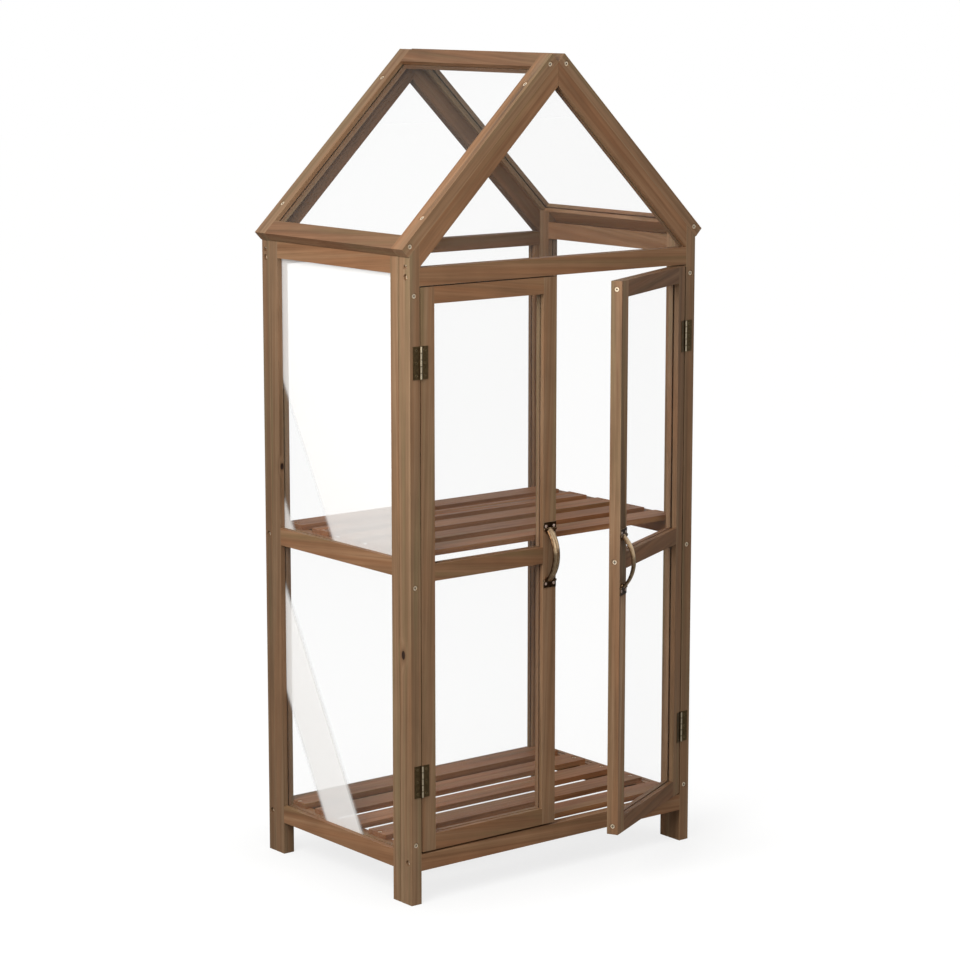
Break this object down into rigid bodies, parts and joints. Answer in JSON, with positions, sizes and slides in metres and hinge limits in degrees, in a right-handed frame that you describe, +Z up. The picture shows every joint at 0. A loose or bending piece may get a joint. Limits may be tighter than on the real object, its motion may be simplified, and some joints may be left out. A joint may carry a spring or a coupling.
{
  "type": "mini greenhouse",
  "caption": "Free-standing timber mini greenhouse with clear panes, a ridge roof, hinged glazed doors with bow handles, and slatted shelves for pots.",
  "frame": {"origin": "on the ground, midway between the four posts", "axes": "+Z up, +X to the right seen from the doors, -Y out through the doors"},
  "size_m": [0.628, 0.5437, 1.3537],
  "materials": {
    "stained_timber": "thin brown glaze on planed softwood, matt",
    "shelf_timber": "thin brown glaze on planed softwood, matt",
    "clear_pane": "clear acrylic, gloss",
    "bronzed_hinge": "bronzed steel, satin",
    "antique_brass": "antique brass, polished high spots and dark recesses",
    "plated_steel": "zinc plated",
    "screw": "yellow zinc plated"
  },
  "bodies": {
    "frame": {"front_left_post": "stained_timber", "front_right_post": "stained_timber", "back_left_post": "stained_timber", "back_right_post": "stained_timber", "left_bottom_rail": "stained_timber", "left_mid_rail": "stained_timber", "left_top_rail": "stained_timber", "right_bottom_rail": "stained_timber", "right_mid_rail": "stained_timber", "right_top_rail": "stained_timber", "front_bottom_rail": "stained_timber", "front_top_rail": "stained_timber", "back_bottom_rail": "stained_timber", "back_mid_rail": "stained_timber", "back_top_rail": "stained_timber", "back_left_stiles": "stained_timber", "back_right_stiles": "stained_timber", "left_panes": "clear_pane", "right_panes": "clear_pane", "back_panes": "clear_pane", "front_left_rafter": "stained_timber", "front_right_rafter": "stained_timber", "back_left_rafter": "stained_timber", "back_right_rafter": "stained_timber", "front_gable_pane": "clear_pane", "back_gable_pane": "clear_pane", "roof_left_front_stile": "stained_timber", "roof_left_back_stile": "stained_timber", "roof_left_eave_rail": "stained_timber", "roof_left_ridge_rail": "stained_timber", "roof_left_pane": "clear_pane", "roof_right_front_stile": "stained_timber", "roof_right_back_stile": "stained_timber", "roof_right_eave_rail": "stained_timber", "roof_right_ridge_rail": "stained_timber", "roof_right_pane": "clear_pane", "shelf_battens": "shelf_timber", "bottom_shelf_slats": "shelf_timber", "mid_shelf_slats": "shelf_timber", "post_hinge_leaves": "bronzed_hinge", "hinge_pins": "plated_steel", "frame_screws": "screw"},
    "left_door": {"left_door_hinge_stile": "stained_timber", "left_door_free_stile": "stained_timber", "left_door_bottom_rail": "stained_timber", "left_door_mid_rail": "stained_timber", "left_door_top_rail": "stained_timber", "left_door_panes": "clear_pane", "left_door_handle": "antique_brass", "left_door_hinge_leaves": "bronzed_hinge", "left_door_screws": "screw"},
    "right_door": {"right_door_hinge_stile": "stained_timber", "right_door_free_stile": "stained_timber", "right_door_bottom_rail": "stained_timber", "right_door_mid_rail": "stained_timber", "right_door_top_rail": "stained_timber", "right_door_panes": "clear_pane", "right_door_handle": "antique_brass", "right_door_hinge_leaves": "bronzed_hinge", "right_door_screws": "screw"}
  },
  "joints": [
    {"name": "left_door_hinge", "type": "hinge", "parent": "frame", "child": "left_door", "pos_m": [-0.279, -0.2049, 0.542], "axis": [0, 0, -1], "range_deg": [0, 175]},
    {"name": "right_door_hinge", "type": "hinge", "parent": "frame", "child": "right_door", "pos_m": [0.279, -0.2049, 0.542], "axis": [0, 0, 1], "range_deg": [-26.5, 148.5]}
  ]
}
